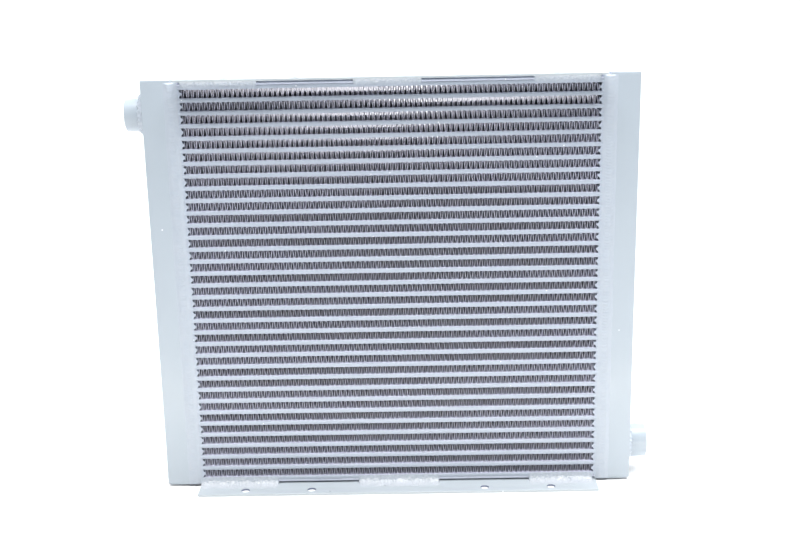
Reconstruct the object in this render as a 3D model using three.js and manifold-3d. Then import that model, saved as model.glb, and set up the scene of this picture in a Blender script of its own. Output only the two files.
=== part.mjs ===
// Bar-and-plate hydraulic oil cooler: a brazed core with air fins, a tank welded to each end, a threaded port
// on each tank, and a flat drilled bracket along the top and the bottom edge.
// Millimetres, +Z up. Origin: centre of the bounding box in X and Y, on the underside of the bottom bracket.
// The front, which the brackets stand out from, faces -Y. X runs from the left tank to the right tank.
// Tanks and brackets are nearly the same after half a turn about Y, so each paired piece is drawn once and
// turned for its twin. What differs is given by edge, end or side below.

import * as THREE from "three";
import { mergeVertices } from "three/addons/utils/BufferGeometryUtils.js";
import Module from "manifold-3d";

const wasm = await Module();
wasm.setup();

// Core: rows of air fins between oil passages, one more passage than rows.
const FIN_ROWS = 33;
const FIN_HEIGHT = 9.4;
const PASSAGE_HEIGHT = 3.4;
const SHEET_THICKNESS = 0.6;
const CORE_DEPTH = 63;
const CORE_HALF_WIDTH = 241;
const SHORT_BAR_WIDTH = 9.5;
const SHORT_BAR_NOSE = 2.8;
const LONG_BAR_WIDTH = 8;
const FIN_RECESS = 1.75;

// Gap kept between two pieces that are brazed or welded together.
const JOINT_GAP = 0.2;

// Side plates: each closes the last oil passage, with a rebate all round its outer face.
const SIDE_PLATE_THICKNESS = { top: 5.8, bottom: 4.4 };
const SIDE_PLATE_LIP = 2.3;
const SIDE_PLATE_REBATE = 6;

// Tanks: a three-walled channel, open to the core, with a flat cap on each end.
const TANK_WIDTH = 32.9;
const TANK_HALF_HEIGHT = 238.6;
const TANK_WALL = 4;
const CAP_CHAMFER = { top: 0.6, bottom: 2.5 };

// Ports. The height is from the middle of the tank to the port's axis.
const PORT_HEIGHT = { left: 199.3, right: 202.5 };
const PORT_RADIUS = 20;
const PORT_BORE_RADIUS = 12.5;
const PORT_LENGTH = 23.2;
const PORT_CHAMFER = 1.5;
const PORT_SEGMENTS = 48;
const PORT_WELD_RADIUS = 26.5;
const PORT_WELD_LENGTH = 9.5;

// Brackets.
const BRACKET_HALF_LENGTH = 234.4;
const BRACKET_THICKNESS = 2.5;
const BRACKET_REACH = 30;
const BRACKET_CORNER_RADIUS = 3;
const HOLE_RADIUS = 5;
const HOLE_REACH = 19;
const HOLE_PLACES = [-179.5, -101.6, 101.6, 179.5];
const HOLE_SEGMENTS = 24;

// Seam welds, tank to core. They stop short of the tank's top and run to its underside.
const SEAM_CENTRE = 241.4;
const SEAM_WIDTH = 16.8;
const SEAM_HEIGHT = 1.8;
const SEAM_END = { top: 236, bottom: 238 };
const SEAM_SEGMENTS = 8;

// Stitch welds, side plate to bracket: how far each runs along X, from its start to its end, how far it rises
// from the bracket up the core's front, and how far it reaches out along the bracket.
const TOP_STITCHES = { left: [-231, -146], middle: [-41, 35], right: [157, 231] };
const BOTTOM_STITCHES = { left: [-231, -142], middle: [-47, 49], right: [155, 231] };
const STITCH_RISE = 8.4;
const STITCH_REACH = 12.5;

const ROW_PITCH = FIN_HEIGHT + PASSAGE_HEIGHT + 2 * SHEET_THICKNESS;
const CORE_HALF_HEIGHT = (FIN_ROWS * ROW_PITCH + PASSAGE_HEIGHT) / 2;
const WINDOW_HALF_WIDTH = CORE_HALF_WIDTH - SHORT_BAR_WIDTH;
const HALF_DEPTH = CORE_DEPTH / 2;
const MEAN_PLATE_THICKNESS = (SIDE_PLATE_THICKNESS.top + SIDE_PLATE_THICKNESS.bottom) / 2;
const CORE_DROP = SIDE_PLATE_THICKNESS.top - MEAN_PLATE_THICKNESS;
const PLATE_OUTER = CORE_HALF_HEIGHT + JOINT_GAP + MEAN_PLATE_THICKNESS;
const BRACKET_INNER = PLATE_OUTER + JOINT_GAP;
const BRACKET_OUTER = BRACKET_INNER + BRACKET_THICKNESS;
const TANK_INNER = CORE_HALF_WIDTH + JOINT_GAP;
const TANK_OUTER = TANK_INNER + TANK_WIDTH;

const painted = new THREE.MeshStandardMaterial({ color: 0xccd8e4, roughness: 0.42, metalness: 0.35 });
const finned = new THREE.MeshStandardMaterial({ color: 0x6b6f7c, roughness: 0.5, metalness: 0.5 });
const welded = new THREE.MeshStandardMaterial({ color: 0xc6d1de, roughness: 0.5, metalness: 0.4 });

function polygon(points) {
  return new THREE.Shape(points.map(([u, v]) => new THREE.Vector2(u, v)));
}

// A section drawn in (x, y), from z0 to z1.
function prismAlongZ(shape, z0, z1) {
  const prism = new THREE.ExtrudeGeometry(shape, {
    depth: z1 - z0,
    bevelEnabled: false,
    curveSegments: HOLE_SEGMENTS / 4,
  });
  return prism.translate(0, 0, z0);
}

// A section drawn in (y, z), from x0 to x1.
function prismAlongX(shape, x0, x1) {
  const axes = new THREE.Matrix4().makeBasis(
    new THREE.Vector3(0, 1, 0),
    new THREE.Vector3(0, 0, 1),
    new THREE.Vector3(1, 0, 0),
  );
  return prismAlongZ(shape, x0, x1).applyMatrix4(axes);
}

// A section drawn in (x, z), from y0 to y1.
function prismAlongY(shape, y0, y1) {
  const axes = new THREE.Matrix4().makeBasis(
    new THREE.Vector3(1, 0, 0),
    new THREE.Vector3(0, 0, 1),
    new THREE.Vector3(0, -1, 0),
  );
  return prismAlongZ(shape, -y1, -y0).applyMatrix4(axes);
}

function box(low, high) {
  const size = high.map((value, i) => value - low[i]);
  const centre = high.map((value, i) => (value + low[i]) / 2);
  return new THREE.BoxGeometry(...size).translate(...centre);
}

function solid(geometry) {
  const bare = geometry.clone();
  bare.deleteAttribute("normal");
  bare.deleteAttribute("uv");
  const merged = mergeVertices(bare, 1e-4);
  return new wasm.Manifold(
    new wasm.Mesh({
      numProp: 3,
      vertProperties: new Float32Array(merged.attributes.position.array),
      triVerts: new Uint32Array(merged.index.array),
    }),
  );
}

function cut(body, tools) {
  const made = tools.reduce((left, tool) => left.subtract(solid(tool)), solid(body)).getMesh();
  const geometry = new THREE.BufferGeometry();
  geometry.setAttribute("position", new THREE.BufferAttribute(made.vertProperties, 3));
  geometry.setIndex(new THREE.BufferAttribute(made.triVerts, 1));
  geometry.computeVertexNormals();
  return geometry;
}

function piece(name, geometry, material) {
  const mesh = new THREE.Mesh(geometry, material);
  mesh.name = name;
  return mesh;
}

function turnedAboutY(...pieces) {
  const half = new THREE.Group();
  half.rotation.y = Math.PI;
  half.add(...pieces);
  return half;
}

const rowHeight = (row) => (FIN_ROWS - 1 - 2 * row) * (ROW_PITCH / 2);

// The brazed stack: parting sheets, long bars front and back, and short bars with a pointed nose at each end
// of an air row. Air windows run along Y and oil passages along X.
function brazedCore() {
  const block = box(
    [-CORE_HALF_WIDTH, -HALF_DEPTH, -CORE_HALF_HEIGHT],
    [CORE_HALF_WIDTH, HALF_DEPTH, CORE_HALF_HEIGHT],
  );
  const halfFin = FIN_HEIGHT / 2;
  const noseTip = WINDOW_HALF_WIDTH - SHORT_BAR_NOSE;
  const windowOutline = polygon([
    [-WINDOW_HALF_WIDTH, -halfFin],
    [WINDOW_HALF_WIDTH, -halfFin],
    [noseTip, 0],
    [WINDOW_HALF_WIDTH, halfFin],
    [-WINDOW_HALF_WIDTH, halfFin],
    [-noseTip, 0],
  ]);
  const slotDepth = HALF_DEPTH - LONG_BAR_WIDTH;
  const halfPassage = PASSAGE_HEIGHT / 2;
  const openings = [];
  for (let row = 0; row < FIN_ROWS; row += 1) {
    const airWindow = prismAlongY(windowOutline, -HALF_DEPTH - 1, HALF_DEPTH + 1);
    openings.push(airWindow.translate(0, 0, rowHeight(row)));
  }
  for (let passage = 0; passage <= FIN_ROWS; passage += 1) {
    const height = rowHeight(passage) + ROW_PITCH / 2;
    const beyond = passage === 0 || passage === FIN_ROWS ? 1 : 0;
    openings.push(
      box(
        [-CORE_HALF_WIDTH - 1, -slotDepth, height - halfPassage - (passage === FIN_ROWS ? beyond : 0)],
        [CORE_HALF_WIDTH + 1, slotDepth, height + halfPassage + (passage === 0 ? beyond : 0)],
      ),
    );
  }
  return cut(block, openings);
}

// One row of air fins as the block of space that its corrugation fills.
function finRow() {
  const halfWidth = WINDOW_HALF_WIDTH - SHORT_BAR_NOSE - JOINT_GAP;
  const halfHeight = FIN_HEIGHT / 2 - JOINT_GAP;
  const halfDepth = HALF_DEPTH - FIN_RECESS;
  return box([-halfWidth, -halfDepth, -halfHeight], [halfWidth, halfDepth, halfHeight]);
}

function sidePlate(thickness) {
  const rebate = HALF_DEPTH - SIDE_PLATE_REBATE;
  const inner = PLATE_OUTER - thickness;
  const lip = inner + SIDE_PLATE_LIP;
  const section = polygon([
    [-HALF_DEPTH, inner],
    [HALF_DEPTH, inner],
    [HALF_DEPTH, lip],
    [rebate, lip],
    [rebate, PLATE_OUTER],
    [-rebate, PLATE_OUTER],
    [-rebate, lip],
    [-HALF_DEPTH, lip],
  ]);
  const plate = prismAlongX(section, -CORE_HALF_WIDTH, CORE_HALF_WIDTH);
  const endRebate = box(
    [BRACKET_HALF_LENGTH, -HALF_DEPTH - 1, lip],
    [CORE_HALF_WIDTH + 1, HALF_DEPTH + 1, PLATE_OUTER + 1],
  );
  const otherRebate = endRebate.clone().translate(-BRACKET_HALF_LENGTH - CORE_HALF_WIDTH - 1, 0, 0);
  return cut(plate, [endRebate, otherRebate]);
}

function bracket() {
  const front = -HALF_DEPTH - BRACKET_REACH;
  const side = BRACKET_HALF_LENGTH;
  const radius = BRACKET_CORNER_RADIUS;
  const outline = new THREE.Shape();
  outline.moveTo(side, HALF_DEPTH);
  outline.lineTo(-side, HALF_DEPTH);
  outline.lineTo(-side, front + radius);
  outline.absarc(-side + radius, front + radius, radius, Math.PI, 1.5 * Math.PI, false);
  outline.absarc(side - radius, front + radius, radius, 1.5 * Math.PI, 2 * Math.PI, false);
  outline.closePath();
  HOLE_PLACES.forEach((place) => {
    const hole = new THREE.Path();
    hole.absarc(place, -HALF_DEPTH - HOLE_REACH, HOLE_RADIUS, 0, 2 * Math.PI, true);
    outline.holes.push(hole);
  });
  return prismAlongZ(outline, BRACKET_INNER, BRACKET_OUTER);
}

// A hollow fillet of weld that fills the side plate's rebate, covers the last bar and ends on the bracket.
function stitchWeld([start, end], thickness) {
  const face = -HALF_DEPTH;
  const lip = PLATE_OUTER - thickness + SIDE_PLATE_LIP + JOINT_GAP;
  const seat = BRACKET_INNER - JOINT_GAP;
  const section = polygon([
    [face - JOINT_GAP, seat - STITCH_RISE],
    [face - JOINT_GAP, lip],
    [face + SIDE_PLATE_REBATE - JOINT_GAP, lip],
    [face + SIDE_PLATE_REBATE - JOINT_GAP, seat],
    [face - STITCH_REACH, seat],
    [face - 0.55 * STITCH_REACH, seat - 0.18 * STITCH_RISE],
    [face - 0.25 * STITCH_REACH, seat - 0.4 * STITCH_RISE],
    [face - 0.1 * STITCH_REACH, seat - 0.75 * STITCH_RISE],
  ]);
  return prismAlongX(section, start, end);
}

function tankChannel(portHeight) {
  const inner = TANK_OUTER - TANK_WALL;
  const wallInside = HALF_DEPTH - TANK_WALL;
  const end = TANK_HALF_HEIGHT - TANK_WALL - JOINT_GAP;
  const section = polygon([
    [TANK_INNER, -HALF_DEPTH],
    [TANK_OUTER, -HALF_DEPTH],
    [TANK_OUTER, HALF_DEPTH],
    [TANK_INNER, HALF_DEPTH],
    [TANK_INNER, wallInside],
    [inner, wallInside],
    [inner, -wallInside],
    [TANK_INNER, -wallInside],
  ]);
  return cut(prismAlongZ(section, -end, end), [portHole(portHeight)]);
}

function portHole(portHeight) {
  const hole = new THREE.CylinderGeometry(PORT_BORE_RADIUS, PORT_BORE_RADIUS, 3 * TANK_WALL, PORT_SEGMENTS);
  return hole.rotateZ(-Math.PI / 2).translate(TANK_OUTER - TANK_WALL / 2, 0, -portHeight);
}

// A cap as wide and as deep as the tank, chamfered along its outer edge. Drawn for the lower end.
function tankCap(chamfer) {
  const low = -TANK_HALF_HEIGHT;
  const outline = polygon([
    [TANK_INNER, low],
    [TANK_OUTER - chamfer, low],
    [TANK_OUTER, low + chamfer],
    [TANK_OUTER, low + TANK_WALL],
    [TANK_INNER, low + TANK_WALL],
  ]);
  return prismAlongY(outline, -HALF_DEPTH, HALF_DEPTH);
}

// A ring turned about X from a profile of [radius, distance from the tank] points, closed on itself.
function ringOnPort(profile, portHeight) {
  const points = [...profile, profile[0]].map(([radius, away]) => new THREE.Vector2(radius, away));
  const ring = new THREE.LatheGeometry(points, PORT_SEGMENTS);
  return ring.rotateZ(-Math.PI / 2).translate(TANK_OUTER, 0, -portHeight);
}

function portBoss(portHeight) {
  const profile = [
    [PORT_BORE_RADIUS, JOINT_GAP],
    [PORT_RADIUS, JOINT_GAP],
    [PORT_RADIUS, PORT_LENGTH - PORT_CHAMFER],
    [PORT_RADIUS - PORT_CHAMFER, PORT_LENGTH],
    [PORT_BORE_RADIUS + PORT_CHAMFER, PORT_LENGTH],
    [PORT_BORE_RADIUS, PORT_LENGTH - PORT_CHAMFER],
  ];
  return ringOnPort(profile, portHeight);
}

function portWeld(portHeight) {
  const root = PORT_RADIUS + JOINT_GAP;
  const spread = PORT_WELD_RADIUS - root;
  const profile = [
    [root, JOINT_GAP],
    [PORT_WELD_RADIUS, JOINT_GAP],
    [PORT_WELD_RADIUS - 0.1 * spread, 0.35 * PORT_WELD_LENGTH],
    [root + 0.45 * spread, 0.75 * PORT_WELD_LENGTH],
    [root, PORT_WELD_LENGTH],
  ];
  return ringOnPort(profile, portHeight);
}

// A low rounded bead over the joint between the tank's wall and the core, on the front (-1) or the rear (1).
function seamWeld(side, low, high) {
  const base = HALF_DEPTH + JOINT_GAP;
  const section = new THREE.Shape();
  for (let step = 0; step <= SEAM_SEGMENTS; step += 1) {
    const angle = Math.PI * (step / SEAM_SEGMENTS);
    const across = SEAM_CENTRE + (SEAM_WIDTH / 2) * Math.cos(angle);
    const out = base + (SEAM_HEIGHT - JOINT_GAP) * Math.sin(angle);
    if (step === 0) {
      section.moveTo(across, side * out);
    } else {
      section.lineTo(across, side * out);
    }
  }
  section.closePath();
  return prismAlongZ(section, low, high);
}

// One tank with its caps, port and welds, drawn at +X with the port near the lower end.
function tankAssembly(side, portEnd, farEnd) {
  const farCap = piece(`${side}_tank_${farEnd}_cap`, tankCap(CAP_CHAMFER[farEnd]), painted);
  farCap.scale.z = -1;
  const portHeight = PORT_HEIGHT[side];
  const seamSpan = [-SEAM_END[portEnd], SEAM_END[farEnd]];
  return [
    piece(`${side}_tank`, tankChannel(portHeight), painted),
    piece(`${side}_tank_${portEnd}_cap`, tankCap(CAP_CHAMFER[portEnd]), painted),
    farCap,
    piece(`${side}_port_boss`, portBoss(portHeight), painted),
    piece(`${side}_port_weld`, portWeld(portHeight), welded),
    piece(`${side}_front_seam_weld`, seamWeld(-1, ...seamSpan), welded),
    piece(`${side}_rear_seam_weld`, seamWeld(1, ...seamSpan), welded),
  ];
}

// One edge of the core with its side plate, bracket and stitch welds, drawn for the top.
function edgeAssembly(edge, stitches) {
  const thickness = SIDE_PLATE_THICKNESS[edge];
  const welds = Object.entries(stitches).map(([place, span]) =>
    piece(`${edge}_${place}_stitch_weld`, stitchWeld(span, thickness), welded),
  );
  return [
    piece(`${edge}_side_plate`, sidePlate(thickness), painted),
    piece(`${edge}_bracket`, bracket(), painted),
    ...welds,
  ];
}

// The half turn swaps left and right, so a span is mirrored before it is turned to the bottom edge.
function mirroredSpans(stitches) {
  return Object.fromEntries(Object.entries(stitches).map(([place, [a, b]]) => [place, [-b, -a]]));
}

const cooler = new THREE.Group();
const centred = new THREE.Group();
const frontReach = BRACKET_REACH;
const rearReach = SEAM_HEIGHT;
centred.position.set(0, (frontReach - rearReach) / 2, BRACKET_OUTER);
cooler.add(centred);

// The lower side plate is the thinner one, so the core sits a little below the middle of the tanks.
const stack = new THREE.Group();
stack.position.z = -CORE_DROP;
stack.add(piece("brazed_core", brazedCore(), painted));
for (let row = 0; row < FIN_ROWS; row += 1) {
  const fins = piece(`air_fin_${String(row + 1).padStart(2, "0")}`, finRow(), finned);
  fins.position.z = rowHeight(row);
  stack.add(fins);
}
centred.add(stack);
centred.add(...tankAssembly("right", "bottom", "top"));
centred.add(turnedAboutY(...tankAssembly("left", "top", "bottom")));
centred.add(...edgeAssembly("top", TOP_STITCHES));
centred.add(turnedAboutY(...edgeAssembly("bottom", mirroredSpans(BOTTOM_STITCHES))));

export default cooler;
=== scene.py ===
"""The visual model of a bar-and-plate hydraulic oil cooler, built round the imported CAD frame.

Lengths are in metres. MM turns a length in millimetres into metres. The front of the cooler faces -Y, and
its two ports face -X and +X.
"""

import math
import random

import bmesh
import bpy
from mathutils import Matrix, Vector, noise


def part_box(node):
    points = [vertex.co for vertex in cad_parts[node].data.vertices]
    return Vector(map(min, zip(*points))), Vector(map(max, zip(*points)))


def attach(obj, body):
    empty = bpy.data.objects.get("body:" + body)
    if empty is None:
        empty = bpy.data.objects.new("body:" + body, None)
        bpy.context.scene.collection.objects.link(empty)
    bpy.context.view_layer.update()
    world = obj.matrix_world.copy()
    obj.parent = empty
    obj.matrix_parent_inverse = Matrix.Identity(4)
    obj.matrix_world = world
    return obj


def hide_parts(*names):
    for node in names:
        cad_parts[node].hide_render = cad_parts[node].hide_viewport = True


MM = 0.001
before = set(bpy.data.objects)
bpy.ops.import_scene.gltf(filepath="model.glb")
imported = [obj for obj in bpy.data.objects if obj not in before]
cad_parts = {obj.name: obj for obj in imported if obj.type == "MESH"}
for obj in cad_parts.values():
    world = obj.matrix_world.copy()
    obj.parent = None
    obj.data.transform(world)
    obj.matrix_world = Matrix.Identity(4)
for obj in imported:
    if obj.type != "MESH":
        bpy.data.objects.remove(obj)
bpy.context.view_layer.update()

# Camera: a 50 mm lens on a 36 mm wide sensor, placed from the centre of the core's front face.
LENS = 50
SENSOR = 36
CAMERA_OFFSET = Vector((20.0, -1226.0, 323.3)) * MM
PITCH = math.radians(13.64)
YAW = math.radians(-0.605)
ROLL = math.radians(1.12)

# Air fins. Shares are of the wave's length, the sheet's height or the spread.
FIN_HEIGHT = 9.4 * MM
FIN_WAVE = 5.5 * MM
FIN_SHEET = 0.42 * MM
FIN_CREST_POINTS = 6
FIN_CREST_SHARE = 0.19
FIN_CREST_DROP = 1.6 * MM
FIN_START_SHARE = 0.45
FIN_END_SHARE = 0.3
FIN_LEAN = 0.025
FIN_SPREAD = 0.8 * MM
FIN_SPREAD_SHARES = (0.4, 1.0)
FIN_BEND = 1.9 * MM
SPRAY_FULL = 2 * MM
SPRAY_REACH = 14 * MM

# Brazed core.
SHEET_THICKNESS = 0.6 * MM
SHEET_RECESS = 0.3 * MM
PASSAGE_HEIGHT = 3.4 * MM
LONG_BAR_WIDTH = 8 * MM
LONG_BAR_ROUND = 0.5 * MM
LONG_BAR_STATIONS = 25
LONG_BAR_SHIFTS = (-0.1 * MM, 0.15 * MM)
LONG_BAR_WANDER = 0.12 * MM
SHORT_BAR_WIDTH = 9.5 * MM
SHORT_BAR_SET_BACK = 0.5 * MM
NOSE_LENGTH = 2.6 * MM
NOSE_LENGTH_SHARES = (0.7, 1.0)
NOSE_BLUNT_SHARES = (0.08, 0.2)
NOSE_LEAN_SHARE = 0.12
NOSE_ROOT_SHARE = 0.54
NOSE_SHOULDER_PLACE = 0.8
NOSE_SHOULDER_SHARE = 0.2
TURBULATOR_WAVE = 4.7 * MM
TURBULATOR_FLAT_SHARE = 0.4
TURBULATOR_SHEET = 0.25 * MM
TURBULATOR_SIDE_GAP = 0.5 * MM
TURBULATOR_END_GAP = 1 * MM

# Plates and tanks.
JOINT_GAP = 0.2 * MM
EDGE_ROUND = 0.35 * MM
ROUND_STEPS = 4
TANK_WALL = 4 * MM
TANK_BEND = 0.8 * MM
TANK_INNER_BEND = 0.4 * TANK_BEND
TOP_CAP_CHAMFER = 0.6 * MM
BOTTOM_CAP_CHAMFER = 2.5 * MM
BOTTOM_CAP_SLOPE = 1.4 * MM
CAP_EDGE_DROP = 0.3 * EDGE_ROUND
SIDE_PLATE_LIP = 2.3 * MM
SIDE_PLATE_REBATE = 6 * MM
BRACKET_CORNER = 3 * MM
HOLE_RADIUS = 5 * MM
HOLE_REACH = 19 * MM
HOLE_PLACES = (-179.5 * MM, -101.6 * MM, 101.6 * MM, 179.5 * MM)
HOLE_POINTS = 32
HOLE_WALL_MARGIN = 0.1 * MM

# Ports.
BORE_RADIUS = 12.5 * MM
THREAD_PITCH = 25.4 / 12 * MM
THREAD_DEPTH = 1.2 * MM
THREAD_STEPS = 6
PORT_POINTS = 72
BOSS_FOOT_EDGE = 0.3 * MM
PORT_CHAMFER = 1.5 * MM
CHAMFER_BOW_IN = 0.25 * PORT_CHAMFER
CHAMFER_BOW_DOWN = 0.35 * PORT_CHAMFER
PORT_WELD_STATIONS = 240
PORT_WELD_STEPS = 12
PORT_WELD_OVERLAP = 0.5 * MM
PORT_WELD_RIPPLES = 22
PORT_WELD_LUMP_CIRCLE = 26

# Long welds.
BEAD_END = 4 * MM
SEAM_STEP = 0.75 * MM
SEAM_COLUMNS = 24
SEAM_SINK = 0.3 * MM
SEAM_SWAY = 0.5 * MM
SEAM_EDGE_WANDER = 1.2 * MM
SEAM_RIPPLE = 3.4 * MM
SEAM_RIPPLE_BOW = 3.0 * MM
SEAM_RIPPLE_WANDER = 0.6 * MM
SEAM_TOE = 3.0
STITCH_STEP = 0.6 * MM
STITCH_COLUMNS = 20
STITCH_RIPPLE = 4.2 * MM
STITCH_RIPPLE_BOW = 2.2 * MM
STITCH_RISE = 8.4 * MM
STITCH_REACH = 12.5 * MM
STITCH_HOLLOW = 2.4
STITCH_ROOT = 5.6 * MM
STITCH_OVERRUN = 4 * MM
STITCH_FEWEST_STATIONS = 8
REAR_STITCH_STEP = 0.9 * MM
REAR_STITCH_COLUMNS = 8
REAR_STITCH_RIPPLE_BOW = 1.5 * MM
REAR_STITCH_CROWN = 1.4 * MM

# Each side of the cooler: its name, its way along X, how full its port weld is, and how uneven its seam
# welds are.
SIDES = (
    ("left", -1, 1.0, 0.28),
    ("right", 1, 0.6, 0.14),
)

# Stage: a floor that curves up into a wall behind the cooler.
FLOOR_HALF_WIDTH = 6.0
FLOOR_NEAR = -4.0
FLOOR_BEND = 2.2
FLOOR_BEND_RADIUS = 1.2
FLOOR_BEND_STEPS = 16
WALL_TOP = 5.0
WORLD_STRENGTH = 0.05

# Colours.
PAINT = (0.370, 0.425, 0.480)
PAINT_LIGHT = (0.395, 0.450, 0.505)
# Painted light: the brackets' colour is lighter and less blue than the cooler's paint, for the light on the
# lower bracket's top.
BRACKET_PAINTED_LIGHT = (0.410, 0.455, 0.490)
BRACKET_PAINTED_LIGHT_PALE = (0.440, 0.485, 0.515)
# Painted light: the side plates' colour is lighter than the cooler's paint, to lift the shade in the
# rebates next to the brackets.
SIDE_PLATE_PAINTED_LIGHT = (0.520, 0.560, 0.680)
SIDE_PLATE_PAINTED_LIGHT_PALE = (0.560, 0.600, 0.710)
# Painted shade: the walls of the bolt holes get this dark colour in place of the shade inside the holes.
HOLE_PAINTED_SHADE = (0.160, 0.190, 0.270)
BAR_PAINT = (0.370, 0.420, 0.500)
BAR_PAINT_LIGHT = (0.395, 0.445, 0.520)
WELD_PAINT = (0.370, 0.425, 0.500)
WELD_PAINT_LIGHT = (0.430, 0.475, 0.530)
# Painted light: the level faces of the stitch welds get this lighter colour, for the light on the weld feet
# that face up on the lower bracket.
WELD_FOOT_PAINTED_LIGHT = (0.420, 0.460, 0.510)
WELD_FOOT_PAINTED_LIGHT_PALE = (0.560, 0.585, 0.620)
SPECK = (0.85, 0.87, 0.88)
# Partly painted light: the spray near the fins' front and rear is real, but this colour is lighter than the
# cooler's paint, to lift the shade inside the fin channels.
FIN_SPRAY_AND_LIGHT = (0.64, 0.66, 0.79)
FIN_BRIGHT = (0.70, 0.69, 0.76)
FIN_DULL = (0.68, 0.67, 0.76)
BARE_METAL = (0.62, 0.62, 0.63)
FLOOR_WHITE = (0.93, 0.93, 0.93)
SKY = (0.82, 0.90, 1.0)
WHITE_LIGHT = (1.0, 1.0, 1.0)
WARM_LIGHT = (1.0, 0.9, 0.74)

core_low, core_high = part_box("brazed_core")
FRONT = core_low.y
REAR = core_high.y
DEPTH = REAR - FRONT
CORE_MIDDLE = (core_low + core_high) / 2
FIN_NODES = sorted(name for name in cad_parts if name.startswith("air_fin_"))
X = Vector((1, 0, 0))


# ---------------------------------------------------------------- materials


class Nodes:
    """A material's node tree, with short calls for the nodes that the materials here share."""

    def __init__(self, name):
        self.material = bpy.data.materials.new(name)
        self.material.use_nodes = True
        self.tree = self.material.node_tree
        self.shader = self.tree.nodes["Principled BSDF"]
        self.place = self.tree.nodes.new("ShaderNodeTexCoord").outputs["Object"]

    def link(self, source, target):
        self.tree.links.new(source, target)

    def noise(self, scale, detail, stretch=None):
        """Noise from 0 to 1. A higher scale is finer, and stretch multiplies it along X, Y and Z."""
        texture = self.tree.nodes.new("ShaderNodeTexNoise")
        texture.inputs["Scale"].default_value = scale
        texture.inputs["Detail"].default_value = detail
        place = self.place
        if stretch:
            mapping = self.tree.nodes.new("ShaderNodeMapping")
            mapping.inputs["Scale"].default_value = stretch
            self.link(place, mapping.inputs["Vector"])
            place = mapping.outputs["Vector"]
        self.link(place, texture.inputs["Vector"])
        return texture.outputs["Fac"]

    def spots(self, scale, size):
        """1 in small round spots, 0 between them."""
        cells = self.tree.nodes.new("ShaderNodeTexVoronoi")
        cells.inputs["Scale"].default_value = scale
        self.link(self.place, cells.inputs["Vector"])
        ramp = self.tree.nodes.new("ShaderNodeValToRGB")
        inside, outside = ramp.color_ramp.elements
        inside.position = 0.7 * size
        inside.color = (1, 1, 1, 1)
        outside.position = size
        outside.color = (0, 0, 0, 1)
        self.link(cells.outputs["Distance"], ramp.inputs["Fac"])
        return ramp.outputs["Color"]

    def mix(self, factor, first, second):
        """first where factor is 0 and second where it is 1. Each is a colour or another node's output."""
        mix = self.tree.nodes.new("ShaderNodeMix")
        mix.data_type = "RGBA"
        self.link(factor, mix.inputs["Factor"])
        for colour, target in ((first, mix.inputs["A"]), (second, mix.inputs["B"])):
            if isinstance(colour, tuple):
                target.default_value = (*colour, 1)
            else:
                self.link(colour, target)
        return mix.outputs["Result"]

    def spread(self, source, low, high):
        """source, a value from 0 to 1, spread over low to high."""
        spread = self.tree.nodes.new("ShaderNodeMapRange")
        spread.inputs["To Min"].default_value = low
        spread.inputs["To Max"].default_value = high
        self.link(source, spread.inputs["Value"])
        return spread.outputs["Result"]

    def share_of_depth(self, low, high):
        """0 at low and 1 at high along Y, the cooler's depth."""
        split = self.tree.nodes.new("ShaderNodeSeparateXYZ")
        self.link(self.place, split.inputs["Vector"])
        share = self.tree.nodes.new("ShaderNodeMapRange")
        share.inputs["From Min"].default_value = low
        share.inputs["From Max"].default_value = high
        self.link(split.outputs["Y"], share.inputs["Value"])
        return share.outputs["Result"]

    def larger(self, first, second):
        larger = self.tree.nodes.new("ShaderNodeMath")
        larger.operation = "MAXIMUM"
        self.link(first, larger.inputs[0])
        self.link(second, larger.inputs[1])
        return larger.outputs["Value"]

    def bump(self, *layers):
        """Adds bump layers, each (height, strength, distance), one on top of the other."""
        normal = None
        for height, strength, distance in layers:
            bump = self.tree.nodes.new("ShaderNodeBump")
            bump.inputs["Strength"].default_value = strength
            bump.inputs["Distance"].default_value = distance
            self.link(height, bump.inputs["Height"])
            if normal:
                self.link(normal, bump.inputs["Normal"])
            normal = bump.outputs["Normal"]
        self.link(normal, self.shader.inputs["Normal"])


def shaded(colour, share):
    return tuple(share * part for part in colour)


def paint_material(name, dark, light, orange_peel, rough_low, rough_high):
    """Cloudy paint with a few tiny white specks of dust. orange_peel is the strength of its fine bumps."""
    nodes = Nodes(name)
    cloudy = nodes.mix(nodes.noise(9, 3), dark, light)
    nodes.link(nodes.mix(nodes.spots(55, 0.05), cloudy, SPECK), nodes.shader.inputs["Base Color"])
    nodes.link(nodes.spread(nodes.noise(60, 3), rough_low, rough_high), nodes.shader.inputs["Roughness"])
    nodes.bump((nodes.noise(26, 2), 0.25, 0.4 * MM), (nodes.noise(700, 2), orange_peel, 0.06 * MM))
    return nodes.material


def weld_material(name, dark, light, grain, rough_low, rough_high):
    """Painted weld metal. grain is the strength of its bumps."""
    nodes = Nodes(name)
    nodes.link(nodes.mix(nodes.noise(120, 5), dark, light), nodes.shader.inputs["Base Color"])
    nodes.link(nodes.spread(nodes.noise(300, 3), rough_low, rough_high), nodes.shader.inputs["Roughness"])
    coarse = (nodes.noise(420, 5), 0.7 * grain, 0.25 * MM)
    fine = (nodes.noise(1500, 3), 0.5 * grain, 0.08 * MM)
    nodes.bump(coarse, fine)
    return nodes.material


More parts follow.
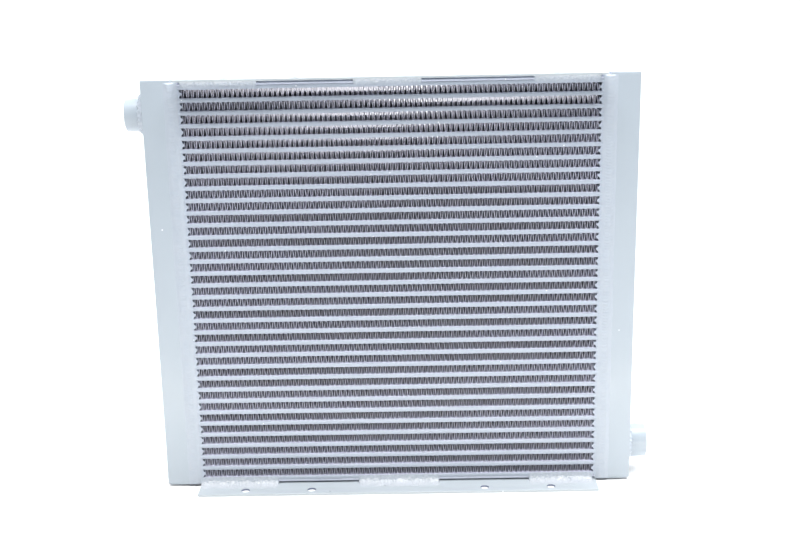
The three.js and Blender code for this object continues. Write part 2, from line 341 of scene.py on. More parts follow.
def fin_material(name, deep, metallic, gloss, rough_low, rough_high):
    """Bare sheet inside the core, painted only where the spray reached it: near the front and the rear. The
    spray's colour is lighter than the cooler's paint, which paints light into the shaded channels.
    """
    nodes = Nodes(name)
    front = nodes.share_of_depth(FRONT + SPRAY_REACH, FRONT + SPRAY_FULL)
    rear = nodes.share_of_depth(REAR - SPRAY_REACH, REAR - SPRAY_FULL)
    reach = nodes.larger(front, rear)
    # The spray's colour, lighter than the paint: partly painted light in the channels.
    painted = nodes.mix(nodes.noise(230, 4), FIN_SPRAY_AND_LIGHT, shaded(FIN_SPRAY_AND_LIGHT, 0.75))
    nodes.link(nodes.mix(reach, deep, painted), nodes.shader.inputs["Base Color"])
    nodes.link(nodes.spread(nodes.noise(500, 3), rough_low, rough_high), nodes.shader.inputs["Roughness"])
    nodes.link(nodes.spread(reach, metallic, 0.0), nodes.shader.inputs["Metallic"])
    nodes.shader.inputs["Specular IOR Level"].default_value = gloss
    nodes.bump((nodes.noise(400, 2, (1, 0.1, 1)), 0.15, 0.05 * MM))
    return nodes.material


def bare_material(name, colour, lines):
    """Unpainted aluminium with tool lines. lines is how the noise that draws them is stretched."""
    nodes = Nodes(name)
    streaks = nodes.noise(900, 3, lines)
    nodes.link(nodes.mix(streaks, colour, shaded(colour, 0.7)), nodes.shader.inputs["Base Color"])
    nodes.link(nodes.spread(streaks, 0.25, 0.45), nodes.shader.inputs["Roughness"])
    nodes.shader.inputs["Metallic"].default_value = 1.0
    nodes.bump((streaks, 0.3, 0.05 * MM))
    return nodes.material


def stage_material(name, colour):
    nodes = Nodes(name)
    nodes.shader.inputs["Base Color"].default_value = (*colour, 1)
    nodes.shader.inputs["Roughness"].default_value = 0.9
    nodes.shader.inputs["Specular IOR Level"].default_value = 0.1
    return nodes.material


paint = paint_material("cooler_paint", PAINT, PAINT_LIGHT, 0.4, 0.2, 0.3)
# Painted light: lighter paint on the brackets.
bracket_painted_light = paint_material("bracket_painted_light", BRACKET_PAINTED_LIGHT, BRACKET_PAINTED_LIGHT_PALE, 0.5, 0.24, 0.36)
# Painted light: lighter paint on the side plates, against the shade next to the brackets.
side_plate_painted_light = paint_material(
    "side_plate_painted_light", SIDE_PLATE_PAINTED_LIGHT, SIDE_PLATE_PAINTED_LIGHT_PALE, 0.5, 0.3, 0.4
)
# Painted shade for the walls of the bolt holes.
hole_painted_shade = paint_material("hole_painted_shade", HOLE_PAINTED_SHADE, HOLE_PAINTED_SHADE, 0.5, 0.5, 0.6)
bar_paint = paint_material("bar_paint", BAR_PAINT, BAR_PAINT_LIGHT, 0.7, 0.3, 0.45)
seam_weld = weld_material("seam_weld", WELD_PAINT, WELD_PAINT_LIGHT, 0.4, 0.25, 0.45)
rough_weld = weld_material("rough_weld", WELD_PAINT, WELD_PAINT_LIGHT, 1.0, 0.15, 0.4)
# Painted light on the level faces of the stitch welds.
weld_foot = weld_material("weld_foot", WELD_FOOT_PAINTED_LIGHT, WELD_FOOT_PAINTED_LIGHT_PALE, 1.2, 0.12, 0.35)
fin_wall = fin_material("fin_wall", FIN_BRIGHT, 1.0, 0.5, 0.2, 0.3)
fin_crest = fin_material("fin_crest", FIN_DULL, 0.0, 0.0, 0.9, 1.0)
thread_metal = bare_material("machined_thread", BARE_METAL, (1, 0.15, 0.15))
inner_metal = bare_material("brazed_sheet", shaded(BARE_METAL, 0.55), (0.1, 1, 1))


# ---------------------------------------------------------------- mesh making


class Shape:
    """The points and faces of one or more closed bodies."""

    def __init__(self):
        self.points = []
        self.faces = []

    def loft(self, loops, ring=False):
        """Joins loops of equally many points by quads. A ring closes on itself, and anything else gets an
        end face on its first loop and on its last."""
        size = len(loops[0])
        base = len(self.points)
        end = base + len(loops) * size
        for step in range(len(loops) if ring else len(loops) - 1):
            here = base + step * size
            there = base + ((step + 1) % len(loops)) * size
            for i in range(size):
                j = (i + 1) % size
                self.faces.append((here + i, here + j, there + j, there + i))
        if not ring:
            self.faces.append(tuple(range(base, base + size))[::-1])
            self.faces.append(tuple(range(end - size, end)))
        self.points.extend(point for loop in loops for point in loop)

    def prism(self, section, to_space, start, end):
        """A section of (u, v) points from start to end. to_space turns (u, v, along) into a place."""
        self.loft([[to_space(u, v, along) for u, v in section] for along in (start, end)])

    def ribbon(self, line, thickness, to_space, stations):
        """A thin sheet whose middle follows a line of (u, v) points, through all the stations along it."""
        loops = []
        for i, (u, v) in enumerate(line):
            before = line[max(i - 1, 0)]
            after = line[min(i + 1, len(line) - 1)]
            ahead = Vector((after[0] - before[0], after[1] - before[1])).normalized()
            off = Vector((-ahead.y, ahead.x)) * (thickness / 2)
            there = [to_space(u + off.x, v + off.y, station) for station in stations]
            back = [to_space(u - off.x, v - off.y, station) for station in reversed(stations)]
            loops.append(there + back)
        self.loft(loops)

    def mesh(self, name):
        mesh = bpy.data.meshes.new(name)
        mesh.from_pydata([tuple(point) for point in self.points], [], self.faces)
        return mesh


def along_x(u, v, w):
    return Vector((w, u, v))


def along_y(u, v, w):
    return Vector((u, w, v))


def add_object(name, data):
    thing = bpy.data.objects.new(name, data)
    bpy.context.scene.collection.objects.link(thing)
    return thing


def finish_piece(name, mesh, materials, nodes=(), sharp=32):
    """Makes the mesh an object that rides on the cooler and stands for the CAD nodes named."""
    body = bmesh.new()
    body.from_mesh(mesh)
    bmesh.ops.remove_doubles(body, verts=body.verts, dist=1e-7)
    bmesh.ops.recalc_face_normals(body, faces=body.faces)
    body.to_mesh(mesh)
    body.free()
    mesh.shade_smooth()
    mesh.set_sharp_from_angle(angle=math.radians(sharp))
    for material in materials:
        mesh.materials.append(material)
    piece = add_object(name, mesh)
    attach(piece, "root")
    if nodes:
        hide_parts(*nodes)
    return piece


def shape_piece(name, shape, materials, nodes=(), sharp=32):
    return finish_piece(name, shape.mesh(name), materials, nodes, sharp)


def is_level(face):
    return abs(face.normal.z) > 0.5


def use_second_where_level(piece):
    """Gives a piece's level faces its second material."""
    for face in piece.data.polygons:
        if is_level(face):
            face.material_index = 1


def rounded(corners):
    """An outline from (u, v, radius) corners, each rounded by an arc of its radius."""
    outline = []
    count = len(corners)
    for i, (u, v, radius) in enumerate(corners):
        here = Vector((u, v))
        if radius <= 0:
            outline.append((u, v))
            continue
        before = (Vector(corners[i - 1][:2]) - here).normalized()
        after = (Vector(corners[(i + 1) % count][:2]) - here).normalized()
        half = before.angle(after) / 2
        centre = here + (before + after).normalized() * (radius / math.sin(half))
        start = here + before * (radius / math.tan(half)) - centre
        end = here + after * (radius / math.tan(half)) - centre
        sweep = start.angle_signed(end)
        for step in range(ROUND_STEPS + 1):
            arm = start.copy()
            arm.rotate(Matrix.Rotation(-sweep * step / ROUND_STEPS, 2))
            outline.append(tuple(centre + arm))
    return outline


def circle(u, v, radius, points):
    turn = 2 * math.pi / points
    return [(u + radius * math.cos(i * turn), v + radius * math.sin(i * turn)) for i in range(points)]


def extruded_mesh(name, outline, holes, start, end, bevel):
    """An outline with holes, from start to end along Z, its end edges rounded by bevel."""
    curve = bpy.data.curves.new(name, "CURVE")
    curve.dimensions = "2D"
    curve.fill_mode = "BOTH"
    curve.extrude = (end - start) / 2 - bevel
    curve.bevel_depth = bevel
    curve.bevel_resolution = 2
    curve.offset = -bevel
    for loop in [outline, *holes]:
        spline = curve.splines.new("POLY")
        spline.points.add(len(loop) - 1)
        for point, (u, v) in zip(spline.points, loop):
            point.co = (u, v, 0, 1)
        spline.use_cyclic_u = True
    holder = add_object(name, curve)
    bpy.context.view_layer.update()
    evaluated = holder.evaluated_get(bpy.context.evaluated_depsgraph_get())
    mesh = bpy.data.meshes.new_from_object(evaluated)
    bpy.data.objects.remove(holder)
    bpy.data.curves.remove(curve)
    mesh.transform(Matrix.Translation((0, 0, (start + end) / 2)))
    return mesh


def near_and_far(low, high, way):
    """The ends of a stretch, in the order they come when going way, 1 or -1, along its axis."""
    return (low, high) if way > 0 else (high, low)


# ---------------------------------------------------------------- core


def fin_line(start, end, seed):
    """A line of (u, v) points: nearly upright legs joined by round crests, each a little out of place."""
    draw = random.Random(seed)
    height = FIN_HEIGHT - FIN_SHEET
    half_wave = FIN_WAVE / 2
    up = draw.choice((-1, 1))
    line = [(start, -up * FIN_START_SHARE * height)]
    position = start + FIN_CREST_SHARE * FIN_WAVE
    while position < end:
        lean = draw.gauss(0, FIN_LEAN) * half_wave
        for step in range(FIN_CREST_POINTS):
            share = step / (FIN_CREST_POINTS - 1) * 2 - 1
            across = position + lean + share * FIN_CREST_SHARE * FIN_WAVE
            drop = FIN_CREST_DROP * (1 - math.sqrt(1 - share * share))
            if start < across < end:
                line.append((across, up * (height / 2 - drop)))
        position += half_wave
        up = -up
    line.append((end, up * FIN_END_SHARE * height))
    return line


def make_fins():
    """Each row's sheet is bent sideways at mid-depth, one way or the other."""
    draw = random.Random(7)
    for index, node in enumerate(FIN_NODES):
        low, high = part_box(node)
        middle = (low.z + high.z) / 2
        start = low.x - FIN_SPREAD * draw.uniform(*FIN_SPREAD_SHARES)
        end = high.x + FIN_SPREAD * draw.uniform(*FIN_SPREAD_SHARES)
        line = fin_line(start, end, 100 + index)
        bend = draw.choice((-FIN_BEND, FIN_BEND))

        def place(u, v, w, middle=middle, bend=bend):
            from_middle = abs(2 * (w - FRONT) / DEPTH - 1)
            return Vector((u + bend * (1 - from_middle), w, middle + v))

        shape = Shape()
        shape.ribbon(line, FIN_SHEET, place, (low.y, (low.y + high.y) / 2, high.y))
        name = f"corrugated_fin_{index + 1:02d}"
        fins = shape_piece(name, shape, [fin_wall, fin_crest], [node], 20)
        use_second_where_level(fins)


def row_centres():
    return [sum(corner.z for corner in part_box(node)) / 2 for node in FIN_NODES]


def passage_centres():
    rows = row_centres()
    pitch = rows[0] - rows[1]
    return [rows[0] + pitch / 2] + [row - pitch / 2 for row in rows]


def make_parting_sheets():
    shape = Shape()
    front = FRONT + SHEET_RECESS
    rear = REAR - SHEET_RECESS
    for row in row_centres():
        for side in (-1, 1):
            inner = row + side * FIN_HEIGHT / 2
            bottom, top = sorted((inner, inner + side * SHEET_THICKNESS))
            section = [(front, bottom), (rear, bottom), (rear, top), (front, top)]
            shape.prism(section, along_x, core_low.x, core_high.x)
    materials = [bar_paint, fin_crest]
    sheets = shape_piece("parting_sheets", shape, materials, ["brazed_core"])
    use_second_where_level(sheets)


def make_long_bars(name, face, inward):
    """The bars that close the passages on the front or the rear, each a little in or out of line."""
    draw = random.Random(name)
    shape = Shape()
    half = PASSAGE_HEIGHT / 2
    for passage in passage_centres():
        outside = face + inward * draw.uniform(*LONG_BAR_SHIFTS)
        inside = face + inward * LONG_BAR_WIDTH
        corners = [
            (outside, -half, LONG_BAR_ROUND),
            (inside, -half, 0),
            (inside, half, 0),
            (outside, half, LONG_BAR_ROUND),
        ]
        section = rounded(corners)
        loops = []
        for station in range(LONG_BAR_STATIONS):
            x = core_low.x + (core_high.x - core_low.x) * station / (LONG_BAR_STATIONS - 1)
            wander = LONG_BAR_WANDER * noise.noise(Vector((x * 25, passage * 300, face * 90)))
            loops.append([Vector((x, y + wander, passage + z)) for y, z in section])
        shape.loft(loops)
    shape_piece(name, shape, [bar_paint])


def make_short_bars(name, end, inward):
    """The bars at one end of the air rows, each with a nose pointing into the row."""
    draw = random.Random(name)
    shape = Shape()
    half = FIN_HEIGHT / 2
    root = end + inward * SHORT_BAR_WIDTH
    for row in row_centres():
        nose = NOSE_LENGTH * draw.uniform(*NOSE_LENGTH_SHARES)
        blunt = draw.uniform(*NOSE_BLUNT_SHARES) * half
        tip = row + draw.uniform(-NOSE_LEAN_SHARE, NOSE_LEAN_SHARE) * half
        shoulder = root + inward * NOSE_SHOULDER_PLACE * nose
        shoulder_half = NOSE_SHOULDER_SHARE * half + blunt / 2
        section = [
            (end, row - half),
            (root, row - half),
            (root, row - NOSE_ROOT_SHARE * half),
            (shoulder, tip - shoulder_half),
            (root + inward * nose, tip - blunt),
            (root + inward * nose, tip + blunt),
            (shoulder, tip + shoulder_half),
            (root, row + NOSE_ROOT_SHARE * half),
            (root, row + half),
            (end, row + half),
        ]
        set_back = draw.uniform(0.0, SHORT_BAR_SET_BACK)
        shape.prism(section, along_y, FRONT + set_back, REAR - set_back)
    shape_piece(name, shape, [bar_paint], sharp=40)


def make_turbulators():
    """A corrugated sheet in each oil passage, its channels running from tank to tank."""
    shape = Shape()
    room = LONG_BAR_WIDTH + TURBULATOR_SIDE_GAP
    height = PASSAGE_HEIGHT - TURBULATOR_SHEET
    waves = int((DEPTH - 2 * room) / TURBULATOR_WAVE)
    ends = (core_low.x + TURBULATOR_END_GAP, core_high.x - TURBULATOR_END_GAP)
    for passage in passage_centres():
        line = []
        for i in range(2 * waves):
            level = passage + (height / 2 if i % 2 else -height / 2)
            start = FRONT + room + i * TURBULATOR_WAVE / 2
            line += [(start, level), (start + TURBULATOR_FLAT_SHARE * TURBULATOR_WAVE, level)]
        shape.ribbon(line, TURBULATOR_SHEET, along_x, ends)
    shape_piece("turbulators", shape, [inner_metal])


# ---------------------------------------------------------------- plates and tanks


def make_side_plate(edge, outward):
    """A thin full-length plate with a thicker middle, which leaves a rebate all round its outer face. Its
    colour is painted light, lighter than the cooler's paint.
    """
    node = f"{edge}_side_plate"
    low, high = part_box(node)
    bracket_low, bracket_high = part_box(f"{edge}_bracket")
    inner, outer = near_and_far(low.z, high.z, outward)
    lip = inner + outward * SIDE_PLATE_LIP
    thin = [
        (low.y, inner, EDGE_ROUND),
        (high.y, inner, EDGE_ROUND),
        (high.y, lip, EDGE_ROUND),
        (low.y, lip, EDGE_ROUND),
    ]
    root = inner + outward * SIDE_PLATE_LIP / 2
    thick = [
        (high.y - SIDE_PLATE_REBATE, root, 0),
        (high.y - SIDE_PLATE_REBATE, outer, EDGE_ROUND),
        (low.y + SIDE_PLATE_REBATE, outer, EDGE_ROUND),
        (low.y + SIDE_PLATE_REBATE, root, 0),
    ]
    shape = Shape()
    shape.prism(rounded(thin), along_x, low.x, high.x)
    shape.prism(rounded(thick), along_x, bracket_low.x, bracket_high.x)
    shape_piece(f"{node}_rebated", shape, [side_plate_painted_light], [node])


def make_bracket(node):
    """A flat plate with four bolt holes along its front. The walls of the holes get a dark colour, painted
    shade inside the holes.
    """
    low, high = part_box(node)
    corners = [
        (low.x, low.y, BRACKET_CORNER),
        (high.x, low.y, BRACKET_CORNER),
        (high.x, high.y, EDGE_ROUND),
        (low.x, high.y, EDGE_ROUND),
    ]
    hole_y = FRONT - HOLE_REACH
    holes = [circle(place, hole_y, HOLE_RADIUS, HOLE_POINTS) for place in HOLE_PLACES]
    mesh = extruded_mesh(node, rounded(corners), holes, low.z, high.z, EDGE_ROUND)
    # The plate's lighter colour is painted light.
    bracket = finish_piece(f"{node}_plate", mesh, [bracket_painted_light, hole_painted_shade], [node])
    for face in bracket.data.polygons:
        nearest = min(abs(face.center.x - place) for place in HOLE_PLACES)
        from_hole = math.hypot(nearest, face.center.y - hole_y)
        if from_hole < HOLE_RADIUS + HOLE_WALL_MARGIN and not is_level(face):
            face.material_index = 1


def make_tank(node, side):
    """A folded channel, open towards the core, with the port's hole through its outer wall."""
    low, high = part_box(node)
    open_side, outer = near_and_far(low.x, high.x, side)
    inside = outer - side * TANK_WALL
    corners = [
        (open_side, low.y, EDGE_ROUND),
        (outer, low.y, TANK_BEND),
        (outer, high.y, TANK_BEND),
        (open_side, high.y, EDGE_ROUND),
        (open_side, high.y - TANK_WALL, EDGE_ROUND),
        (inside, high.y - TANK_WALL, TANK_INNER_BEND),
        (inside, low.y + TANK_WALL, TANK_INNER_BEND),
        (open_side, low.y + TANK_WALL, EDGE_ROUND),
    ]
    mesh = extruded_mesh(node, rounded(corners), [], low.z, high.z, 0)
    tank = finish_piece(f"{node}_channel", mesh, [paint], [node])
    boss_low, boss_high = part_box(node.replace("tank", "port_boss"))
    cut_port_hole(tank, outer, (boss_low + boss_high) / 2)


def cut_port_hole(tank, outer, boss_middle):
    """Cuts the bore's hole through the tank's outer wall."""
    shape = Shape()
    section = circle(boss_middle.y, boss_middle.z, BORE_RADIUS, PORT_POINTS)
    reach = 2 * TANK_WALL
    shape.prism(section, along_x, outer - reach, outer + reach)
    cutter = add_object("cutter", shape.mesh("cutter"))
    cut = tank.modifiers.new("port", "BOOLEAN")
    cut.object = cutter
    cut.operation = "DIFFERENCE"
    cut.solver = "EXACT"
    bpy.context.view_layer.update()
    evaluated = tank.evaluated_get(bpy.context.evaluated_depsgraph_get())
    tank.data = bpy.data.meshes.new_from_object(evaluated)
    tank.modifiers.clear()
    bpy.data.objects.remove(cutter)


def make_cap(node, side, up):
    """A flat cap flush with the channel's walls, chamfered along its outer edge. The lower cap's front and
    rear edges are chamfered too."""
    low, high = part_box(node)
    inner, outer = near_and_far(low.x, high.x, side)
    near, far = near_and_far(low.z, high.z, up)
    chamfer = TOP_CAP_CHAMFER if up > 0 else BOTTOM_CAP_CHAMFER
    slope = CAP_EDGE_DROP if up > 0 else BOTTOM_CAP_SLOPE
    levels = [
        (near - up * JOINT_GAP, 0, 0),
        (far - up * chamfer, 0, 0),
        (far - up * CAP_EDGE_DROP, chamfer, slope),
        (far, chamfer + EDGE_ROUND, slope + EDGE_ROUND),
    ]
    loops = []
    for z, outer_inset, inset in levels:
        edge = outer - side * outer_inset
        corners = [
            (inner, low.y + inset, 0),
            (edge, low.y + inset, TANK_BEND),
            (edge, high.y - inset, TANK_BEND),
            (inner, high.y - inset, 0),
        ]
        loops.append([Vector((x, y, z)) for x, y in rounded(corners)])
    shape = Shape()
    shape.loft(loops)
    shape_piece(f"{node}_plate", shape, [paint], [node])


# ---------------------------------------------------------------- ports


def port_measures(node, side):
    """Where a port node's axis meets its end on the tank, and the node's length and outer radius."""
    low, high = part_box(node)
    foot = (low + high) / 2
    foot.x = near_and_far(low.x, high.x, side)[0]
    return foot, high.x - low.x, (high.z - low.z) / 2


def ring_points(foot, side, radius, away, groove=None):
    """Points round a port's axis, away from its foot. groove, if given, is added to the radius by angle."""
    points = []
    for i in range(PORT_POINTS):
        angle = 2 * math.pi / PORT_POINTS * i
        reach = radius + groove(angle) if groove else radius
        points.append(foot + Vector((side * away, reach * math.cos(angle), reach * math.sin(angle))))
    return points


def make_port_boss(node, side):
    """A round boss with a chamfered mouth and a helical thread cut in its bore."""
    foot, length, radius = port_measures(node, side)
    outside = [
        (BORE_RADIUS + THREAD_DEPTH, 0),
        (radius - BOSS_FOOT_EDGE, 0),
        (radius, BOSS_FOOT_EDGE),
        (radius, length - PORT_CHAMFER),
        (radius - CHAMFER_BOW_IN, length - CHAMFER_BOW_DOWN),
        (radius - PORT_CHAMFER, length),
        (BORE_RADIUS + 2 * THREAD_DEPTH, length),
        (BORE_RADIUS + THREAD_DEPTH, length - THREAD_DEPTH),
    ]
    loops = [ring_points(foot, side, ring_radius, away) for ring_radius, away in outside]
    step = THREAD_PITCH / THREAD_STEPS
    count = int((length - THREAD_DEPTH - step) / step)
    for i in range(1, count + 1):
        away = length - THREAD_DEPTH - i * step
        turns = away / THREAD_PITCH

        def groove(angle, turns=turns):
            share = (turns - side * angle / (2 * math.pi)) % 1.0
            return THREAD_DEPTH * (1 - abs(2 * share - 1))

        loops.append(ring_points(foot, side, BORE_RADIUS, away, groove))
    shape = Shape()
    shape.loft(loops, ring=True)
    boss = shape_piece(f"{node}_threaded", shape, [paint, thread_metal], [node])
    for face in boss.data.polygons:
        from_foot = face.center - foot
        if math.hypot(from_foot.y, from_foot.z) < BORE_RADIUS + 2 * THREAD_DEPTH:
            face.material_index = 1


def lumps(place, seed, size):
    """Uneven weld surface: broad lumps and fine grain, from -1 to 1. place and size are in millimetres."""
    shifted = place / size + Vector((seed, -seed, 0.5 * seed))
    return 0.7 * noise.noise(shifted) + 0.3 * noise.noise(shifted * 2.7)


def make_port_weld(node, side, seed, fullness):
    """A lumpy fillet round the boss. fullness, up to 1, is its size as a share of the room it has."""
    foot, length, outer = port_measures(node, side)
    inner = port_measures(node.replace("weld", "boss"), side)[2]
    root = inner - PORT_WELD_OVERLAP
    loops = []
    for station in range(PORT_WELD_STATIONS):
        angle = 2 * math.pi * station / PORT_WELD_STATIONS
        ray = Vector((0, math.cos(angle), math.sin(angle)))
        spot = ray * PORT_WELD_LUMP_CIRCLE
        ripple = 0.5 + 0.5 * math.cos(angle * PORT_WELD_RIPPLES + 2.5 * lumps(ray * 10, seed, 4))
        swell = fullness * (0.8 + 0.12 * ripple + 0.24 * lumps(spot, seed, 6))
        loop = [foot + ray * root]
        for step in range(PORT_WELD_STEPS + 1):
            share = step / PORT_WELD_STEPS
            rough = 0.16 * lumps(spot + X * share * 10, seed + 3, 2.5)
            bulge = 1 + (0.25 + rough) * math.sin(math.pi * share)
            reach = inner + (outer - inner) * swell * bulge * (1 - share)
            away = length * swell * bulge * share
            loop.append(foot + ray * min(reach, outer) + X * side * min(away, length))
        loop.append(foot + ray * root + X * side * length * swell)
        loops.append(loop)
    shape = Shape()
    shape.loft(loops, ring=True)
    shape_piece(f"{node}_bead", shape, [rough_weld], [node], 50)


# ---------------------------------------------------------------- long welds


def end_fall(place, start, end):
    """1 along a bead from start to end, falling to 0 in a quarter circle at each end."""
    share = min(1.0, (place - start) / BEAD_END, (end - place) / BEAD_END)
    return math.sqrt(max(0.0, 1 - (1 - share) ** 2))


def seam_rise(across, share, z, seed, unevenness):
    """How high a seam weld stands at a share of its width, from 0 to 1 of its peak."""
    bow = math.sin(math.pi * share)
    toe = min(1.0, SEAM_TOE * share, SEAM_TOE * (1 - share))
    flank = toe * toe * (3 - 2 * toe)
    wander = SEAM_RIPPLE_WANDER * noise.noise(Vector((across * 90, seed, z * 90)))
    phase = (z + SEAM_RIPPLE_BOW * bow + wander) / SEAM_RIPPLE
    ripple = 0.5 - 0.5 * math.cos(2 * math.pi * phase)
    rough = lumps(Vector((across, 0, z)) / MM, seed, 4.5)
    rise = flank * (0.6 + 0.2 * ripple + unevenness * rough)
    return max(0.0, min(1.0, rise))


def make_seam_weld(node, seed, unevenness):
    """A wide low bead with curved ripples, over the joint of tank and core."""
    low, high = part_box(node)
    front = low.y < FRONT
    face = FRONT if front else REAR
    out = -1 if front else 1
    peak = (face - low.y) if front else (high.y - face)
    middle = (low.x + high.x) / 2
    half = (high.x - low.x) / 2
    root = face - out * SEAM_SINK
    stations = int((high.z - low.z) / SEAM_STEP)
    loops = []
    for station in range(stations + 1):
        z = low.z + (high.z - low.z) * station / stations
        fall = end_fall(z, low.z, high.z)
        centre = middle + SEAM_SWAY * noise.noise(Vector((0, seed, z * 60)))
        left_edge = -half + SEAM_EDGE_WANDER * (0.5 + 0.5 * noise.noise(Vector((seed, 3, z * 130))))
        right_edge = half - SEAM_EDGE_WANDER * (0.5 + 0.5 * noise.noise(Vector((seed, 9, z * 130))))
        loop = [Vector((centre + right_edge, root, z)), Vector((centre + left_edge, root, z))]
        for column in range(SEAM_COLUMNS + 1):
            share = column / SEAM_COLUMNS
            across = left_edge + (right_edge - left_edge) * share
            rise = seam_rise(across, share, z, seed, unevenness) * peak * fall
            loop.append(Vector((centre + across, face + out * rise, z)))
        loops.append(loop)
    shape = Shape()
    shape.loft(loops)
    shape_piece(f"{node}_bead", shape, [seam_weld], [node], 55)


def make_stitch(name, start, end, seat, inward, room, seed, nodes):
    """A rough hollow fillet from the core's front to the bracket. seat is the bracket's face. inward, 1 or
    -1, points from it along Z towards the core, and room is the height of the side plate's rebate."""
    stations = max(STITCH_FEWEST_STATIONS, int((end - start) / STITCH_STEP))
    loops = []
    for station in range(stations + 1):
        x = start + (end - start) * station / stations
        fall = 0.3 + 0.7 * end_fall(x, start, end)
        rise = STITCH_RISE * fall * (1 + 0.10 * noise.noise(Vector((x * 130, seed, 0))))
        reach = STITCH_REACH * fall * (1 + 0.30 * noise.noise(Vector((x * 150, seed, 5))))
        loop = [(-STITCH_ROOT, 0.0), (-STITCH_ROOT, room), (-JOINT_GAP, room), (-JOINT_GAP, rise)]
        for column in range(STITCH_COLUMNS + 1):
            share = column / STITCH_COLUMNS
            bow = math.sin(math.pi * share) ** 0.4
            ripple = ((x + STITCH_RIPPLE_BOW * bow) / STITCH_RIPPLE) % 1.0
            rough = lumps(Vector((x / MM, share * 17, 0)), seed, 2.6)
            swell = (0.45 + 0.4 * ripple**1.5 + 1.5 * rough) * MM * bow * fall
            u = reach * share**STITCH_HOLLOW + 0.5 * swell
            w = rise * (1 - share) ** STITCH_HOLLOW + 0.7 * swell
            loop.append((max(u, 0.0), max(w, 0.0)))
        loops.append([Vector((x, FRONT - u, seat + inward * w)) for u, w in loop])
    shape = Shape()
    shape.loft(loops)
    stitch = shape_piece(name, shape, [rough_weld, weld_foot], nodes, 50)
    # The level faces get the lighter weld colour: painted light on the weld's foot, which faces up on the
    # lower bracket.
    use_second_where_level(stitch)


def make_rear_stitch(name, start, end, seat, inward, room, seed):
    """Fills the rebate at the rear, where the bracket is flush with the core."""
    stations = max(STITCH_FEWEST_STATIONS, int((end - start) / REAR_STITCH_STEP))
    loops = []
    for station in range(stations + 1):
        x = start + (end - start) * station / stations
        fall = end_fall(x, start, end)
        loop = [(REAR - STITCH_ROOT, 0.0), (REAR - STITCH_ROOT, room)]
        for column in range(REAR_STITCH_COLUMNS + 1):
            share = 1 - column / REAR_STITCH_COLUMNS
            bow = math.sin(math.pi * share)
            ripple = ((x + REAR_STITCH_RIPPLE_BOW * bow) / STITCH_RIPPLE) % 1.0
            rough = lumps(Vector((x / MM, share * 5, 0)), seed, 2.6)
            swell = (1.9 * fall + 0.35 * ripple + 0.5 * rough) * MM * bow
            out = min(swell - REAR_STITCH_CROWN, REAR_STITCH_CROWN)
            loop.append((REAR + out, room * share))
        loops.append([Vector((x, y, seat + inward * w)) for y, w in loop])
    shape = Shape()
    shape.loft(loops)
    shape_piece(name, shape, [rough_weld], (), 50)


def make_stitches(edge, inward, edge_seed):
    """Three stitch welds along the front of the top or bottom edge, and three along its rear."""
    bracket_low, bracket_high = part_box(f"{edge}_bracket")
    plate_low, plate_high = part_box(f"{edge}_side_plate")
    seat = near_and_far(bracket_low.z, bracket_high.z, inward)[1]
    room = plate_high.z - plate_low.z - SIDE_PLATE_LIP + JOINT_GAP / 2
    for index, place in enumerate(("left", "middle", "right")):
        node = f"{edge}_{place}_stitch_weld"
        low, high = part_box(node)
        seed = 3.1 * index + edge_seed
        # The lower left weld runs on a little past its node's box.
        start = low.x - (STITCH_OVERRUN if (edge, place) == ("bottom", "left") else 0)
        make_stitch(f"{node}_bead", start, high.x, seat, inward, room, seed, [node])
        rear_name = f"{edge}_{place}_rear_stitch_bead"
        make_rear_stitch(rear_name, low.x, high.x, seat, inward, room, seed + 7)


# ---------------------------------------------------------------- stage


def make_camera():
    data = bpy.data.cameras.new("camera")
    data.lens = LENS
    data.sensor_width = SENSOR
    camera = add_object("camera", data)
    face_middle = Vector((CORE_MIDDLE.x, FRONT, CORE_MIDDLE.z))
    place = Matrix.Translation(face_middle + CAMERA_OFFSET)
    aim = Matrix.Rotation(-YAW, 4, "Z") @ Matrix.Rotation(math.pi / 2 - PITCH, 4, "X")
    camera.matrix_world = place @ aim @ Matrix.Rotation(-ROLL, 4, "Z")
    bpy.context.scene.camera = camera


def make_floor():
    """A white floor that curves up into a wall well behind the cooler."""
    profile = [(FLOOR_NEAR, 0.0), (FLOOR_BEND, 0.0)]
    for step in range(1, FLOOR_BEND_STEPS + 1):
        angle = math.pi / 2 * step / FLOOR_BEND_STEPS
        y = FLOOR_BEND + FLOOR_BEND_RADIUS * math.sin(angle)
        profile.append((y, FLOOR_BEND_RADIUS * (1 - math.cos(angle))))
    profile.append((FLOOR_BEND + FLOOR_BEND_RADIUS, WALL_TOP))
    points = [(x, y, z) for y, z in profile for x in (-FLOOR_HALF_WIDTH, FLOOR_HALF_WIDTH)]
    faces = [(2 * i, 2 * i + 1, 2 * i + 3, 2 * i + 2) for i in range(len(profile) - 1)]
    mesh = bpy.data.meshes.new("floor")
    mesh.from_pydata(points, [], faces)
    mesh.shade_smooth()
    mesh.materials.append(stage_material("floor_white", FLOOR_WHITE))
    floor = add_object("floor", mesh)


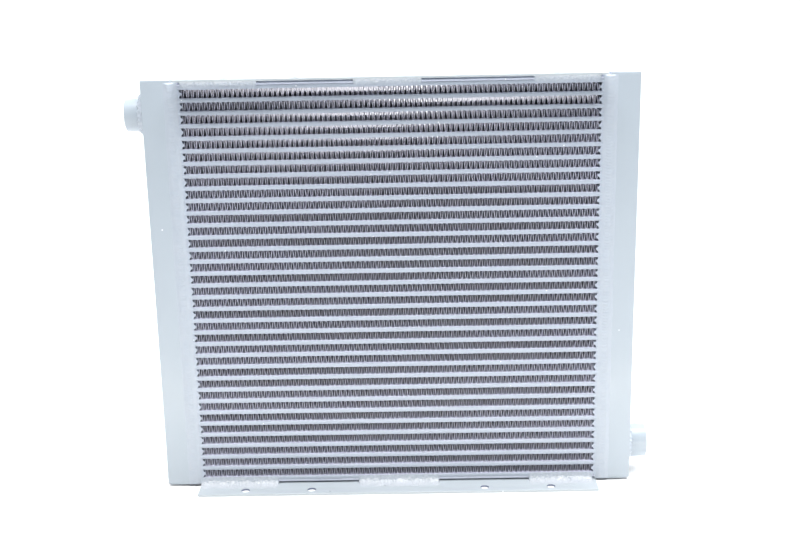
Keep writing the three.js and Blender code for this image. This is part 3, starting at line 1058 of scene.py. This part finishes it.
def make_light(name, place, target, size, power, colour=WHITE_LIGHT):
    data = bpy.data.lights.new(name, "AREA")
    data.color = colour
    data.shape = "RECTANGLE"
    data.size, data.size_y = size
    data.energy = power
    light = add_object(name, data)
    light.location = place
    light.rotation_euler = (Vector(target) - Vector(place)).to_track_quat("-Z", "Y").to_euler()


def make_world():
    world = bpy.data.worlds.new("studio")
    world.use_nodes = True
    background = world.node_tree.nodes["Background"]
    background.inputs["Color"].default_value = (*SKY, 1)
    background.inputs["Strength"].default_value = WORLD_STRENGTH
    bpy.context.scene.world = world
    bpy.context.scene.view_settings.view_transform = "Standard"


make_camera()
make_floor()
make_world()
make_light("overhead", (0.2, -0.35, 2.2), (0.0, -0.2, 0.0), (2.6, 2.0), 143)
make_light("low_front", (0.1, -0.27, 0.03), (0.1, 0.0, 0.03), (1.3, 0.04), 0.4, WARM_LIGHT)
make_light("left", (-2.5, 0.35, 0.9), (0.0, 0.0, 0.3), (1.0, 1.2), 20)
make_light("right", (2.5, 0.35, 0.9), (0.0, 0.0, 0.3), (1.0, 1.2), 28)
make_light("behind", (0.0, 1.7, 2.2), (0.0, 2.6, 0.6), (3.0, 1.0), 65)

make_fins()
make_parting_sheets()
make_long_bars("front_long_bars", FRONT, 1)
make_long_bars("rear_long_bars", REAR, -1)
make_short_bars("left_short_bars", core_low.x, 1)
make_short_bars("right_short_bars", core_high.x, -1)
make_turbulators()
make_side_plate("top", 1)
make_side_plate("bottom", -1)
make_bracket("top_bracket")
make_bracket("bottom_bracket")
for side_name, side_way, port_weld_fullness, seam_unevenness in SIDES:
    make_tank(f"{side_name}_tank", side_way)
    make_cap(f"{side_name}_tank_top_cap", side_way, 1)
    make_cap(f"{side_name}_tank_bottom_cap", side_way, -1)
    make_port_boss(f"{side_name}_port_boss", side_way)
    make_port_weld(f"{side_name}_port_weld", side_way, 5.0 + side_way, port_weld_fullness)
    make_seam_weld(f"{side_name}_front_seam_weld", 11.0 + side_way, seam_unevenness)
    make_seam_weld(f"{side_name}_rear_seam_weld", 15.0 + side_way, seam_unevenness)
make_stitches("top", -1, 20)
make_stitches("bottom", 1, 40)
